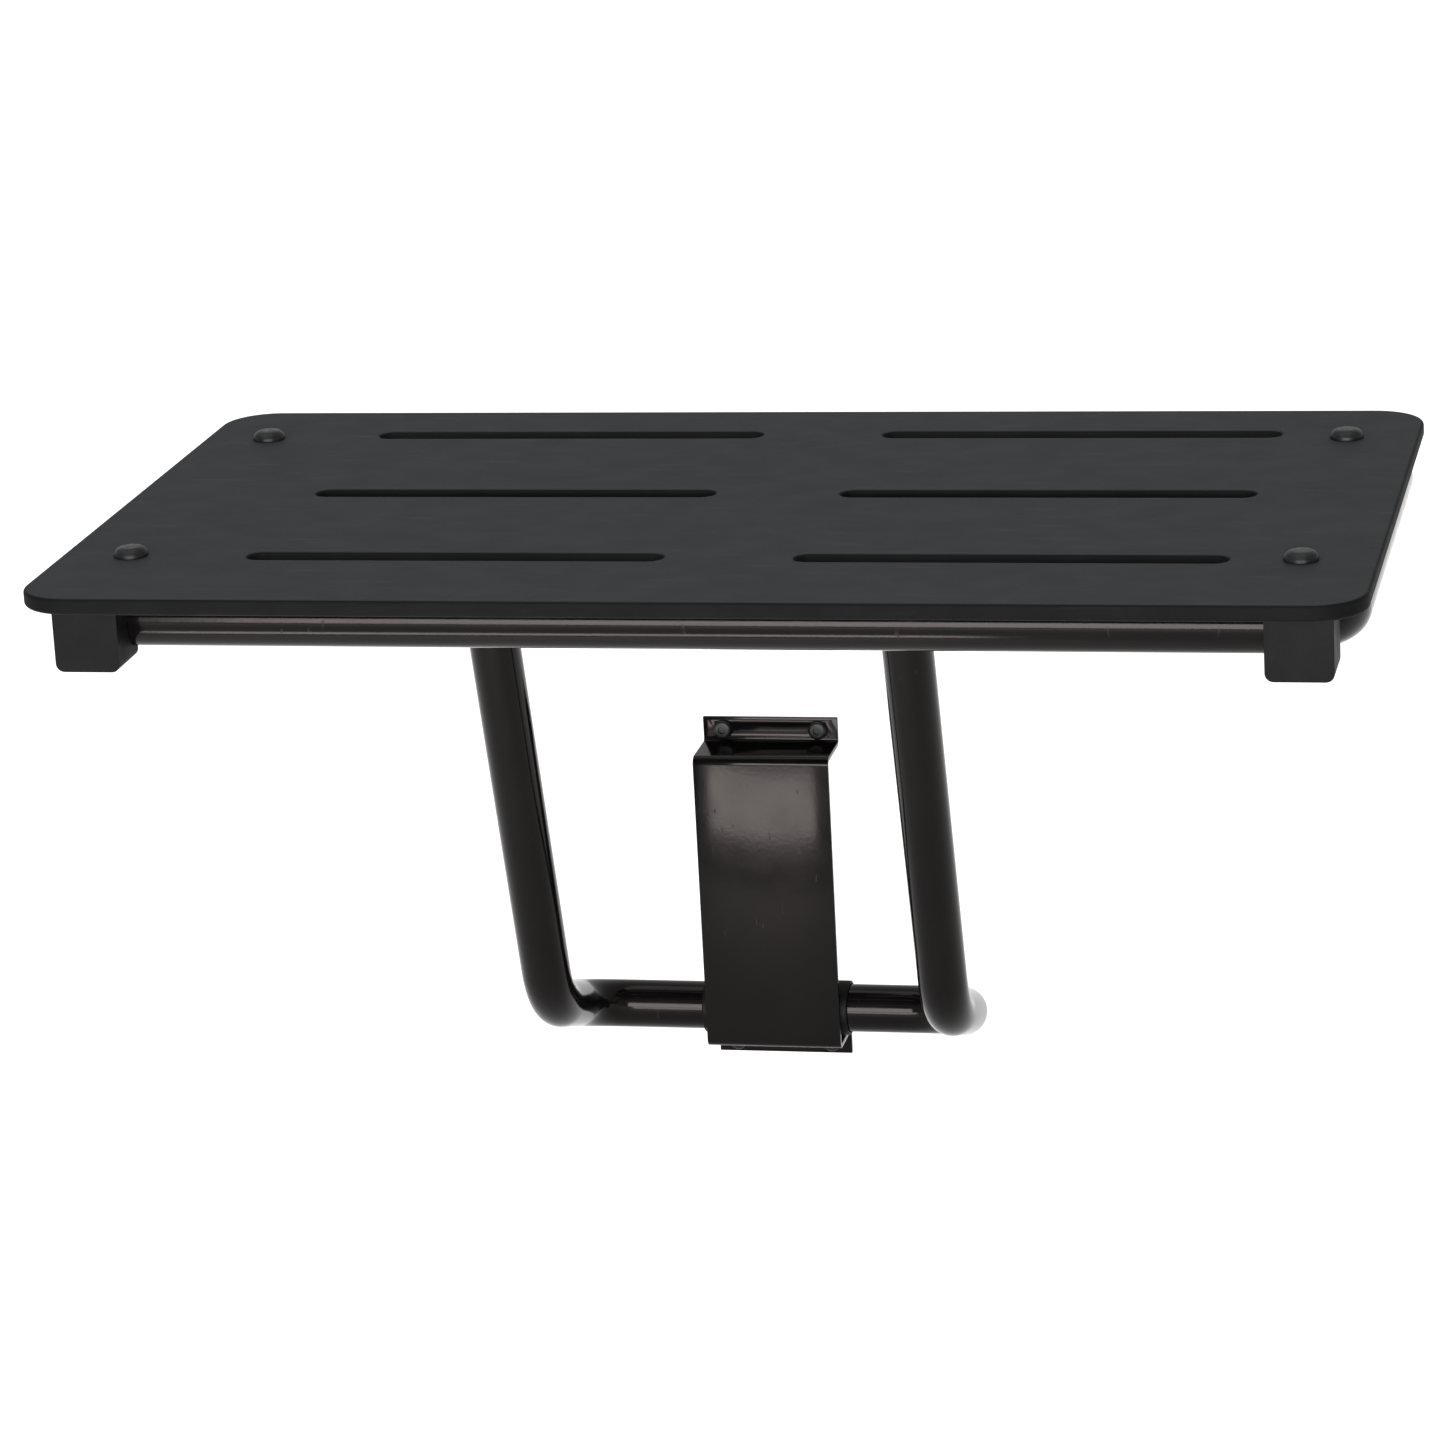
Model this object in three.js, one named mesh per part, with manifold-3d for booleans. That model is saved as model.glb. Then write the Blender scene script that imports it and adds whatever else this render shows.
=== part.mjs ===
import * as THREE from "three";
import Module from "manifold-3d";
import { mergeVertices } from "three/addons/utils/BufferGeometryUtils.js";

// Fold-up wall seat. Millimetres, X to the right, Z up, wall face at Y = 0, room towards -Y.
// Z = 0 is the top of the seat when it is down, X = 0 is the middle of the seat.

const FIT = 0.3; // gap left between pieces that touch
const ROUND = 8; // curve divisions per half turn of a tube section

// Seat panel
const SEAT_WIDTH = 620;
const SEAT_DEPTH = 365;
const PANEL_THICKNESS = 8;
const PANEL_BACK = 20; // panel's back edge to the wall
const PANEL_CORNER = 26;
const EDGE_ROUND = 2;
const SLOT_WIDTH = 13;
const SLOT_SHIFT = 12; // the slots sit right of the panel's middle
const SLOT_INNER = 31;
const SLOT_OUTER = 230;
const SLOT_ROW_MIDDLE = 189;
const SLOT_ROW_PITCH = 118.5;

// Bolts, nuts and tabs that hold the panel
const BOLT_X = 275;
const BOLT_REAR = 79;
const BOLT_FRONT = 309;
const BOLT_END = -26;
const SHANK_R = 3;
const HEAD_R = 8.2;
const HEAD_HEIGHT = 4.4;
const NUT_R = 5.8;
const NUT_HEIGHT = 6.5;
const TAB_THICKNESS = 3;
const TAB_INNER = 260;
const TAB_OUTER = 282;
const TAB_HALF = 16;
const TAB_CORNER = 2;

// Tube frame under the panel
const TUBE_R = 12.7;
const TUBE_WALL = 1.6;
const FRAME_X = 294;
const FRAME_FRONT = 342;
const FRAME_REAR = 47;
const FRAME_BEND = 30;
const FRAME_LEVEL = -(PANEL_THICKNESS + FIT + TUBE_R);
const FRAME_JOINT = 215;
const STUB_END = 190;
const PLUG_CAP = 2;
const PLUG_LENGTH = 14;

// Bumper blocks
const BLOCK_X = 279.5;
const BLOCK_SIZE = 31;
const BLOCK_FRONT = 370;
const BLOCK_BACK = 342;
const BLOCK_ROUND = 4;
const BLOCK_SCREW_OUT = 362.5;
const BLOCK_SCREW_R = 2;
const BLOCK_SCREW_HEAD_R = 3.8;
const BLOCK_SCREW_HEAD = 2.4;
const BLOCK_SINK_R = 4.5;
const BLOCK_SINK = 4;

// Wall hinges
const HINGE_OUT = 26;
const HINGE_X = 226;
const PIN_R = 4;
const BARREL_R = 8;
const BARREL_LENGTH = 28;
const EAR_THICKNESS = 3;
const PLATE_THICKNESS = 3;
const PLATE_TOP = -30;
const PLATE_BOTTOM = -104;
const PLATE_WIDTH = 62;
const PLATE_CORNER = 5;
const PLATE_SCREW_X = 24;
const PLATE_SCREW_IN = 10;
const EAR_BELOW_PLATE_TOP = 22; // where the ear's upper edge meets the plate
const EAR_ABOVE_PLATE_END = 14; // where its lower edge meets the plate
const EAR_ARC_FROM = 26; // degrees round the eye
const EAR_ARC_TO = 207;
const BUSH_R = 6;
const BUSH_FLANGE = 1;
const BUSH_STEM = 9;
const PIN_HEAD_R = 6;
const PIN_HEAD = 2.5;
const PIN_TAIL = 4; // end of the pin past the far ear
const CLIP_THICKNESS = 1.2;

// Wall screws
const SCREW_R = 2.5;
const SCREW_HEAD_R = 5;
const SCREW_HEAD = 2.8;

// Folding leg and the wall guide
const MECHANISM_X = -37; // the leg and its guide sit left of the seat's middle
const LEG_HALF = 104;
const PIVOT_OUT = 175;
const PIVOT_LEVEL = -38;
const KNEE_OUT = 95;
const KNEE_LEVEL = -298;
const BAR_OUT = 15.25;
const BAR_LEVEL = -326;
const BAR_BEND = 32;
const KNEE_BEND = 45;
const SLEEVE_R = 14.5;
const GUIDE_WIDTH = 72;
const GUIDE_SHEET = 2.5;
const GUIDE_DEPTH = 33;
const GUIDE_TOP = -182.5;
const GUIDE_BOTTOM = -343.5;
const FLANGE_HEIGHT = 13;
const GUIDE_FOLD = 3; // chamfer that stands for the outside of a fold
const GUIDE_SCREW_X = 25.5;
const GUIDE_SCREW_IN = 6.5;
const SLEEVE_PAST_GUIDE = 3;

// Top pivot of the leg
const LEG_TOP_CUT = 14; // the tube stops this far below the pivot, where the eye starts
const EYE_HALF = 9;
const EYE_PLUG = 24; // length of the eye's plug inside the tube
const PIVOT_R = 5;
const PIVOT_HEAD_R = 7.5;
const PIVOT_HEAD = 2.5;
const LUG_GAP = 13.5;
const LUG_THICKNESS = 4;
const LUG_TOP = -12;
const LUG_BELOW_TUBE = 19;
const LUG_MOUTH = 11; // half the height of the plate at its open edge
const LUG_LEAD = 13; // how far its slanted edges run

// Worked out from the above
const CLEAR_R = SHANK_R + FIT;
const TAB_TOP = -(PANEL_THICKNESS + FIT);
const BLOCK_BOTTOM = TAB_TOP - BLOCK_SIZE;
const EAR_INNER = BARREL_LENGTH / 2 + BUSH_FLANGE + 2 * FIT;
const HINGE_AXIS = [-HINGE_OUT, FRAME_LEVEL];
const PIVOT = [-PIVOT_OUT, PIVOT_LEVEL];
const SIDES = [["left", -1], ["right", 1]];

const wasm = await Module();
wasm.setup();

const COLOURS = {
  phenolic: [0x38393b, 0.75, 0.0],
  coating: [0x1b1a1a, 0.45, 0.6],
  nylon: [0x0c0c0d, 0.6, 0.0],
  steel: [0x1e1e1f, 0.4, 0.8],
};

const model = new THREE.Group();
model.name = "fold_up_wall_seat";

function add(name, finish, geometry) {
  const [colour, roughness, metalness] = COLOURS[finish];
  const material = new THREE.MeshStandardMaterial({ color: colour, roughness, metalness });
  const mesh = new THREE.Mesh(geometry, material);
  mesh.name = name;
  model.add(mesh);
}

function solid(geometry) {
  const bare = geometry.clone();
  bare.deleteAttribute("normal");
  bare.deleteAttribute("uv");
  const merged = mergeVertices(bare, 1e-4);
  const mesh = new wasm.Mesh({
    numProp: 3,
    vertProperties: new Float32Array(merged.attributes.position.array),
    triVerts: new Uint32Array(merged.index.array),
  });
  return new wasm.Manifold(mesh);
}

function surface(body) {
  const mesh = body.getMesh();
  const geometry = new THREE.BufferGeometry();
  geometry.setAttribute("position", new THREE.BufferAttribute(new Float32Array(mesh.vertProperties), 3));
  geometry.setIndex(new THREE.BufferAttribute(new Uint32Array(mesh.triVerts), 1));
  geometry.computeVertexNormals();
  return geometry;
}

function cut(geometry, ...tools) {
  let body = solid(geometry);
  for (const tool of tools) {
    body = body.subtract(solid(tool));
  }
  return surface(body);
}

function join(...geometries) {
  let body = solid(geometries[0]);
  for (const next of geometries.slice(1)) {
    body = body.add(solid(next));
  }
  return surface(body);
}

// A box between two opposite corners.
function box(low, high) {
  const size = high.map((value, i) => value - low[i]);
  const middle = high.map((value, i) => (value + low[i]) / 2);
  return new THREE.BoxGeometry(...size).translate(...middle);
}

// A round bar along one axis, from one end to the other.
function rod(axis, radius, from, to, at, sides = 2 * ROUND) {
  const bar = new THREE.CylinderGeometry(radius, radius, to - from, sides);
  bar.translate(0, (from + to) / 2, 0);
  if (axis === "x") {
    bar.rotateZ(-Math.PI / 2);
    return bar.translate(0, at[0], at[1]);
  }
  if (axis === "z") {
    bar.rotateX(Math.PI / 2);
    return bar.translate(at[0], at[1], 0);
  }
  return bar.translate(at[0], 0, at[1]);
}

// A closed profile of [radius, height] points turned about +Z.
function turned(profile, sides = 2 * ROUND) {
  const points = profile.map(([radius, height]) => new THREE.Vector2(radius, height));
  return new THREE.LatheGeometry(points, sides).rotateX(Math.PI / 2);
}

// Straight runs joined by round bends: stations fall only where the path turns.
class BentPath extends THREE.Curve {
  constructor(corners, bends, divisions = 5) {
    super();
    const points = corners.map((corner) => new THREE.Vector3(...corner));
    this.stations = [];
    this.tangents = [];
    const last = points.length - 1;
    const direction = (i) => points[i + 1].clone().sub(points[i]).normalize();
    this.put(points[0], direction(0));
    for (let i = 1; i < last; i += 1) {
      this.bend(points[i], direction(i - 1), direction(i), bends[i - 1], divisions);
    }
    this.put(points[last], direction(last - 1));
    this.steps = this.stations.length - 1;
  }

  put(point, tangent) {
    this.stations.push(point.clone());
    this.tangents.push(tangent.clone());
  }

  bend(corner, before, after, radius, divisions) {
    const turn = before.angleTo(after);
    const reach = radius * Math.tan(turn / 2);
    const start = corner.clone().addScaledVector(before, -reach);
    const axis = before.clone().cross(after).normalize();
    const inward = axis.clone().cross(before);
    const centre = start.clone().addScaledVector(inward, radius);
    for (let k = 0; k <= divisions; k += 1) {
      const angle = (turn * k) / divisions;
      const spoke = inward.clone().multiplyScalar(-radius).applyAxisAngle(axis, angle);
      this.put(centre.clone().add(spoke), before.clone().applyAxisAngle(axis, angle));
    }
  }

  getPointAt(u) {
    return this.stations[Math.round(u * this.steps)].clone();
  }

  getTangentAt(u) {
    return this.tangents[Math.round(u * this.steps)].clone();
  }
}

function tube(path, outer, inner) {
  const section = new THREE.Shape().absarc(0, 0, outer, 0, 2 * Math.PI, false);
  if (inner > 0) {
    section.holes.push(new THREE.Path().absarc(0, 0, inner, 0, 2 * Math.PI, true));
  }
  return new THREE.ExtrudeGeometry(section, {
    steps: path.steps,
    curveSegments: ROUND,
    extrudePath: path,
    bevelEnabled: false,
  });
}

// A flat outline in Y and Z, given thickness along X.
function plateAcross(shape, from, to) {
  const plate = new THREE.ExtrudeGeometry(shape, {
    depth: to - from,
    curveSegments: ROUND,
    bevelEnabled: false,
  });
  plate.rotateX(Math.PI / 2).rotateZ(Math.PI / 2);
  return plate.translate(from, 0, 0);
}

function roundedRectangle(left, right, low, high, radius) {
  const shape = new THREE.Shape();
  shape.absarc(right - radius, high - radius, radius, 0, Math.PI / 2, false);
  shape.absarc(left + radius, high - radius, radius, Math.PI / 2, Math.PI, false);
  shape.absarc(left + radius, low + radius, radius, Math.PI, 1.5 * Math.PI, false);
  shape.absarc(right - radius, low + radius, radius, 1.5 * Math.PI, 2 * Math.PI, false);
  shape.closePath();
  return shape;
}

function slot(from, to, y) {
  const radius = SLOT_WIDTH / 2;
  const path = new THREE.Path();
  path.absarc(to - radius, y, radius, -Math.PI / 2, Math.PI / 2, false);
  path.absarc(from + radius, y, radius, Math.PI / 2, 1.5 * Math.PI, false);
  path.closePath();
  return path;
}

function corners() {
  const list = [];
  for (const [end, y] of [["front", -BOLT_FRONT], ["rear", -BOLT_REAR]]) {
    for (const [hand, side] of [["left", -1], ["right", 1]]) {
      list.push({ name: `${end}_${hand}`, side, x: side * BOLT_X, y });
    }
  }
  return list;
}

function seatPanel() {
  const half = SEAT_WIDTH / 2;
  const front = -(PANEL_BACK + SEAT_DEPTH);
  const outline = roundedRectangle(-half, half, front, -PANEL_BACK, PANEL_CORNER);
  for (const row of [-1, 0, 1]) {
    const y = -(SLOT_ROW_MIDDLE + row * SLOT_ROW_PITCH);
    outline.holes.push(slot(SLOT_SHIFT + SLOT_INNER, SLOT_SHIFT + SLOT_OUTER, y));
    outline.holes.push(slot(SLOT_SHIFT - SLOT_OUTER, SLOT_SHIFT - SLOT_INNER, y));
  }
  const slab = new THREE.ExtrudeGeometry(outline, {
    depth: PANEL_THICKNESS - 2 * EDGE_ROUND,
    curveSegments: 6,
    bevelThickness: EDGE_ROUND,
    bevelSize: EDGE_ROUND,
    bevelOffset: -EDGE_ROUND,
    bevelSegments: 2,
  });
  slab.translate(0, 0, EDGE_ROUND - PANEL_THICKNESS);
  const holes = corners().map(({ x, y }) => rod("z", CLEAR_R, -PANEL_THICKNESS - 1, 1, [x, y]));
  return cut(slab, ...holes);
}

// Domed head that rests just above the panel, with its shank down through the tab.
function seatBolt(x, y) {
  const profile = [[0, BOLT_END], [SHANK_R, BOLT_END], [SHANK_R, FIT], [HEAD_R, FIT]];
  const rings = 4;
  for (let k = 1; k <= rings; k += 1) {
    const angle = (k / rings) * (Math.PI / 2);
    const radius = k === rings ? 0 : HEAD_R * Math.cos(angle);
    profile.push([radius, FIT + HEAD_HEIGHT * Math.sin(angle)]);
  }
  return turned(profile).translate(x, y, 0);
}

function seatNut(x, y) {
  const top = TAB_TOP - TAB_THICKNESS - FIT;
  const blank = rod("z", NUT_R, top - NUT_HEIGHT, top, [x, y], 6);
  return cut(blank, rod("z", CLEAR_R, top - NUT_HEIGHT - 1, top + 1, [x, y]));
}

function mountingTab({ side, x, y }) {
  const ends = [side * TAB_INNER, side * TAB_OUTER].sort((a, b) => a - b);
  const shape = roundedRectangle(ends[0], ends[1], y - TAB_HALF, y + TAB_HALF, TAB_CORNER);
  const plate = new THREE.ExtrudeGeometry(shape, {
    depth: TAB_THICKNESS,
    curveSegments: 2,
    bevelEnabled: false,
  });
  plate.translate(0, 0, TAB_TOP - TAB_THICKNESS);
  const bore = rod("z", CLEAR_R, TAB_TOP - TAB_THICKNESS - 1, TAB_TOP + 1, [x, y]);
  return cut(plate, bore);
}

function frontFramePath(x = FRAME_X) {
  return new BentPath([
    [-x, -FRAME_JOINT, FRAME_LEVEL],
    [-x, -FRAME_FRONT, FRAME_LEVEL],
    [x, -FRAME_FRONT, FRAME_LEVEL],
    [x, -FRAME_JOINT, FRAME_LEVEL],
  ], [FRAME_BEND, FRAME_BEND]);
}

function rearFrameTube(side) {
  const path = new BentPath([
    [side * FRAME_X, -FRAME_JOINT + FIT, FRAME_LEVEL],
    [side * FRAME_X, -FRAME_REAR, FRAME_LEVEL],
    [side * STUB_END, -FRAME_REAR, FRAME_LEVEL],
  ], [FRAME_BEND]);
  return tube(path, TUBE_R, TUBE_R - TUBE_WALL);
}

// Cross tube with its ends coped to fit the side tubes.
function crossTube() {
  const at = [-FRAME_JOINT, FRAME_LEVEL];
  const bar = rod("x", TUBE_R, -FRAME_X, FRAME_X, at);
  const hollow = rod("x", TUBE_R - TUBE_WALL, -FRAME_X - 1, FRAME_X + 1, at);
  const far = -FRAME_JOINT - 4 * TUBE_R;
  const near = -FRAME_JOINT + 4 * TUBE_R;
  const copes = SIDES.map(([, side]) => rod("y", TUBE_R + FIT, far, near, [side * FRAME_X, FRAME_LEVEL]));
  const drop = TUBE_R + 1;
  const ends = SIDES.map(([, side]) => box(
    [Math.min(side * FRAME_X, side * (FRAME_X + drop)), far, FRAME_LEVEL - drop],
    [Math.max(side * FRAME_X, side * (FRAME_X + drop)), near, FRAME_LEVEL + drop],
  ));
  return cut(bar, hollow, ...copes, ...ends);
}

function stubPlug(side) {
  const cap = STUB_END - PLUG_CAP;
  const ends = (a, b) => [side * a, side * b].sort((p, q) => p - q);
  const at = [-FRAME_REAR, FRAME_LEVEL];
  const head = rod("x", TUBE_R, ...ends(cap - FIT, STUB_END - FIT), at);
  const shank = rod("x", TUBE_R - TUBE_WALL - FIT, ...ends(cap, STUB_END + PLUG_LENGTH), at);
  return join(head, shank);
}

// Bumper block in front of the corner bend, grooved at the back to take the tube.
function bumperBlock(side) {
  const left = side * BLOCK_X - BLOCK_SIZE / 2;
  const right = left + BLOCK_SIZE;
  const low = BLOCK_BOTTOM + BLOCK_ROUND;
  const shape = new THREE.Shape();
  shape.moveTo(right, TAB_TOP);
  shape.lineTo(left, TAB_TOP);
  shape.absarc(left + BLOCK_ROUND, low, BLOCK_ROUND, Math.PI, 1.5 * Math.PI, false);
  shape.absarc(right - BLOCK_ROUND, low, BLOCK_ROUND, 1.5 * Math.PI, 2 * Math.PI, false);
  shape.closePath();
  const block = new THREE.ExtrudeGeometry(shape, {
    depth: BLOCK_FRONT - BLOCK_BACK,
    curveSegments: 3,
    bevelEnabled: false,
  });
  block.rotateX(Math.PI / 2).translate(0, -BLOCK_BACK, 0);
  const groove = tube(frontFramePath(), TUBE_R + FIT, 0);
  const spot = [side * BLOCK_X, -BLOCK_SCREW_OUT];
  const bore = rod("z", BLOCK_SCREW_R + FIT, BLOCK_BOTTOM - 1, TAB_TOP + 1, spot);
  const sink = rod("z", BLOCK_SINK_R, BLOCK_BOTTOM - 1, BLOCK_BOTTOM + BLOCK_SINK, spot);
  return cut(block, groove, bore, sink);
}

// Cheese-head screw sunk in the bottom of the block.
function blockScrew(side) {
  const head = BLOCK_BOTTOM + BLOCK_SINK - FIT;
  const face = head - BLOCK_SCREW_HEAD;
  const profile = [
    [0, face],
    [BLOCK_SCREW_HEAD_R * 0.84, face],
    [BLOCK_SCREW_HEAD_R, face + BLOCK_SCREW_HEAD * 0.4],
    [BLOCK_SCREW_HEAD_R, head],
    [BLOCK_SCREW_R, head],
    [BLOCK_SCREW_R, TAB_TOP],
    [0, TAB_TOP],
  ];
  return turned(profile, 12).translate(side * BLOCK_X, -BLOCK_SCREW_OUT, 0);
}

function hingeBarrel(side) {
  const from = side * HINGE_X - BARREL_LENGTH / 2;
  const to = from + BARREL_LENGTH;
  const sleeve = rod("x", BARREL_R, from, to, HINGE_AXIS);
  return cut(sleeve, rod("x", BUSH_R + FIT, from - 1, to + 1, HINGE_AXIS));
}

// Flanged bush: one in each end of a barrel.
function hingeBush(side, end) {
  const mouth = side * HINGE_X + (end * BARREL_LENGTH) / 2;
  const ends = (a, b) => [mouth + end * a, mouth + end * b].sort((p, q) => p - q);
  const flange = rod("x", BARREL_R, ...ends(FIT, FIT + BUSH_FLANGE), HINGE_AXIS);
  const stem = rod("x", BUSH_R, ...ends(-BUSH_STEM, FIT + BUSH_FLANGE / 2), HINGE_AXIS);
  const bore = rod("x", PIN_R + FIT, ...ends(-BUSH_STEM - 1, BUSH_FLANGE + 1), HINGE_AXIS);
  return cut(join(flange, stem), bore);
}

function ear(from) {
  const shape = new THREE.Shape();
  shape.moveTo(0, PLATE_BOTTOM + EAR_ABOVE_PLATE_END);
  shape.lineTo(0, PLATE_TOP - EAR_BELOW_PLATE_TOP);
  shape.absarc(...HINGE_AXIS, BARREL_R, THREE.MathUtils.degToRad(EAR_ARC_FROM),
    THREE.MathUtils.degToRad(EAR_ARC_TO), false);
  shape.closePath();
  return plateAcross(shape, from, from + EAR_THICKNESS);
}

function wallHinge(side) {
  const middle = side * HINGE_X;
  const half = PLATE_WIDTH / 2;
  const outline = roundedRectangle(middle - half, middle + half, PLATE_BOTTOM, PLATE_TOP, PLATE_CORNER);
  const plate = new THREE.ExtrudeGeometry(outline, {
    depth: PLATE_THICKNESS,
    curveSegments: 4,
    bevelEnabled: false,
  });
  plate.rotateX(Math.PI / 2);
  const ears = [ear(middle - EAR_INNER - EAR_THICKNESS), ear(middle + EAR_INNER)];
  const reach = EAR_INNER + EAR_THICKNESS + 1;
  const bore = rod("x", PIN_R + FIT, middle - reach, middle + reach, HINGE_AXIS);
  const drill = ([x, z]) => rod("y", SCREW_R + FIT, -PLATE_THICKNESS - 1, 1, [x, z]);
  const holes = hingeScrewSpots(side).map(drill);
  return cut(join(plate, ...ears), bore, ...holes);
}

function hingeScrewSpots(side) {
  const spots = [];
  for (const x of [-PLATE_SCREW_X, PLATE_SCREW_X]) {
    for (const z of [PLATE_TOP - PLATE_SCREW_IN, PLATE_BOTTOM + PLATE_SCREW_IN]) {
      spots.push([side * HINGE_X + x, z]);
    }
  }
  return spots;
}

function hingePin(side) {
  const reach = EAR_INNER + EAR_THICKNESS + FIT;
  const middle = side * HINGE_X;
  const shank = rod("x", PIN_R, middle - reach - PIN_TAIL, middle + reach + 1, HINGE_AXIS);
  const head = rod("x", PIN_HEAD_R, middle + reach, middle + reach + PIN_HEAD, HINGE_AXIS);
  return join(shank, head);
}

function pinClip(side) {
  const outer = side * HINGE_X - EAR_INNER - EAR_THICKNESS - FIT;
  const ring = rod("x", PIN_HEAD_R, outer - CLIP_THICKNESS, outer, HINGE_AXIS);
  const hole = rod("x", PIN_R + FIT, outer - CLIP_THICKNESS - 1, outer + 1, HINGE_AXIS);
  return cut(ring, hole);
}

// Pan-head wall screw: its shank stops at the wall face.
function wallScrew(x, z, sheet) {
  const seat = sheet + FIT;
  const profile = [
    [0, 0],
    [SCREW_R, 0],
    [SCREW_R, seat],
    [SCREW_HEAD_R, seat],
    [SCREW_HEAD_R * 0.92, seat + SCREW_HEAD * 0.6],
    [SCREW_HEAD_R * 0.6, seat + SCREW_HEAD],
    [0, seat + SCREW_HEAD],
  ];
  return turned(profile, 12).rotateX(Math.PI / 2).translate(x, 0, z);
}

function guideScrewSpots() {
  const top = GUIDE_TOP + GUIDE_SCREW_IN;
  const bottom = GUIDE_BOTTOM - GUIDE_SCREW_IN;
  return [
    ["top_left", MECHANISM_X - GUIDE_SCREW_X, top],
    ["top_right", MECHANISM_X + GUIDE_SCREW_X, top],
    ["bottom_left", MECHANISM_X - GUIDE_SCREW_X, bottom],
    ["bottom_right", MECHANISM_X + GUIDE_SCREW_X, bottom],
  ];
}

// Hat-shaped strip: flange, web, face, web, flange, open to both sides.
function guideBracket() {
  const t = GUIDE_SHEET;
  const shape = new THREE.Shape();
  const outline = [
    [0, GUIDE_TOP + FLANGE_HEIGHT],
    [-t, GUIDE_TOP + FLANGE_HEIGHT],
    [-t, GUIDE_TOP],
    [-GUIDE_DEPTH + GUIDE_FOLD, GUIDE_TOP],
    [-GUIDE_DEPTH, GUIDE_TOP - GUIDE_FOLD],
    [-GUIDE_DEPTH, GUIDE_BOTTOM + GUIDE_FOLD],
    [-GUIDE_DEPTH + GUIDE_FOLD, GUIDE_BOTTOM],
    [-t, GUIDE_BOTTOM],
    [-t, GUIDE_BOTTOM - FLANGE_HEIGHT],
    [0, GUIDE_BOTTOM - FLANGE_HEIGHT],
    [0, GUIDE_BOTTOM + t],
    [-GUIDE_DEPTH + t, GUIDE_BOTTOM + t],
    [-GUIDE_DEPTH + t, GUIDE_TOP - t],
    [0, GUIDE_TOP - t],
  ];
  shape.setFromPoints(outline.map(([y, z]) => new THREE.Vector2(y, z)));
  const hat = plateAcross(shape, MECHANISM_X - GUIDE_WIDTH / 2, MECHANISM_X + GUIDE_WIDTH / 2);
  const holes = guideScrewSpots().map(([, x, z]) => rod("y", SCREW_R + FIT, -t - 1, 1, [x, z]));
  return cut(hat, ...holes);
}

function guideSleeve() {
  const half = GUIDE_WIDTH / 2 + SLEEVE_PAST_GUIDE;
  const at = [-BAR_OUT, BAR_LEVEL];
  const sleeve = rod("x", SLEEVE_R, MECHANISM_X - half, MECHANISM_X + half, at, 24);
  return cut(sleeve, rod("x", TUBE_R + FIT, MECHANISM_X - half - 1, MECHANISM_X + half + 1, at, 24));
}

function legDirection() {
  const up = new THREE.Vector3(0, KNEE_OUT - PIVOT_OUT, PIVOT_LEVEL - KNEE_LEVEL);
  return up.normalize();
}

function legTube() {
  const up = legDirection();
  const topY = -PIVOT_OUT - up.y * LEG_TOP_CUT;
  const topZ = PIVOT_LEVEL - up.z * LEG_TOP_CUT;
  const left = MECHANISM_X - LEG_HALF;
  const right = MECHANISM_X + LEG_HALF;
  const path = new BentPath([
    [left, topY, topZ],
    [left, -KNEE_OUT, KNEE_LEVEL],
    [left, -BAR_OUT, BAR_LEVEL],
    [right, -BAR_OUT, BAR_LEVEL],
    [right, -KNEE_OUT, KNEE_LEVEL],
    [right, topY, topZ],
  ], [KNEE_BEND, BAR_BEND, BAR_BEND, KNEE_BEND]);
  return tube(path, TUBE_R, TUBE_R - TUBE_WALL);
}

// Solid eye plugged into the top of a leg tube.
function legEye(side) {
  const x = MECHANISM_X + side * LEG_HALF;
  const lean = Math.atan2(PIVOT_OUT - KNEE_OUT, PIVOT_LEVEL - KNEE_LEVEL);
  const neckTop = -LEG_TOP_CUT + FIT;
  const plug = rod("z", TUBE_R - TUBE_WALL - FIT, -LEG_TOP_CUT - EYE_PLUG, -LEG_TOP_CUT / 3, [0, 0]);
  const neck = box([-EYE_HALF, -EYE_HALF, neckTop], [EYE_HALF, EYE_HALF, 0]);
  const body = join(plug, neck).rotateX(lean).translate(x, ...PIVOT);
  const ring = rod("x", TUBE_R - FIT, x - EYE_HALF, x + EYE_HALF, PIVOT);
  const pinHole = rod("x", PIVOT_R + FIT, x - TUBE_R, x + TUBE_R, PIVOT);
  return cut(join(body, ring), pinHole);
}

function legPin(side) {
  const x = MECHANISM_X + side * LEG_HALF;
  const reach = LUG_GAP + LUG_THICKNESS;
  const shank = rod("x", PIVOT_R, x - reach - 1, x + reach + 1, PIVOT);
  const heads = [-1, 1].map((end) => {
    const ends = [x + end * (reach + FIT), x + end * (reach + FIT + PIVOT_HEAD)].sort((p, q) => p - q);
    return rod("x", PIVOT_HEAD_R, ...ends, PIVOT);
  });
  return join(shank, ...heads);
}

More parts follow.
